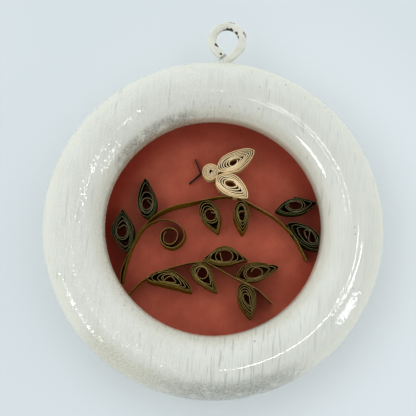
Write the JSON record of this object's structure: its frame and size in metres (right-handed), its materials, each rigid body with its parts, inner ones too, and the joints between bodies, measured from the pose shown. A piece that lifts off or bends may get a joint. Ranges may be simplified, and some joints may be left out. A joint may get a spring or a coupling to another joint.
{
  "type": "framed quilled paper picture",
  "caption": "Round wooden ring frame with a hanging eye and a card back, holding a quilled paper spray of leaves and a butterfly.",
  "frame": {"origin": "centre of the ring on the back face of the card", "axes": "+Z out of the picture towards the viewer, along the ring's axis; +Y up, through the screw eye it hangs from; +X to the viewer's right"},
  "size_m": [0.07, 0.0793, 0.0127],
  "materials": {
    "ring_paint": "gloss white paint over turned wood",
    "card": "matt rust red card",
    "wire_paint": "white paint over steel wire, chipped",
    "olive_paper": "matt olive brown paper",
    "green_paper": "matt dark green paper",
    "cream_paper": "matt cream paper",
    "brown_paper": "matt dark brown paper"
  },
  "bodies": {
    "root": {"frame_ring": "ring_paint", "backing_card": "card", "screw_eye": "wire_paint", "main_branch": "olive_paper", "lower_branch": "olive_paper", "tendril": "olive_paper", "leaf_upper_left": "green_paper", "leaf_lower_left": "green_paper", "leaf_upper_right": "green_paper", "leaf_lower_right": "green_paper", "leaf_hanging_left": "olive_paper", "leaf_hanging_right": "olive_paper", "sprig_leaf_left": "olive_paper", "sprig_leaf_drooping": "olive_paper", "sprig_leaf_top": "olive_paper", "sprig_leaf_right": "olive_paper", "sprig_leaf_bottom": "olive_paper", "butterfly_head": "cream_paper", "upper_wing": "cream_paper", "lower_wing": "cream_paper", "antennae": "brown_paper"}
  },
  "joints": []
}
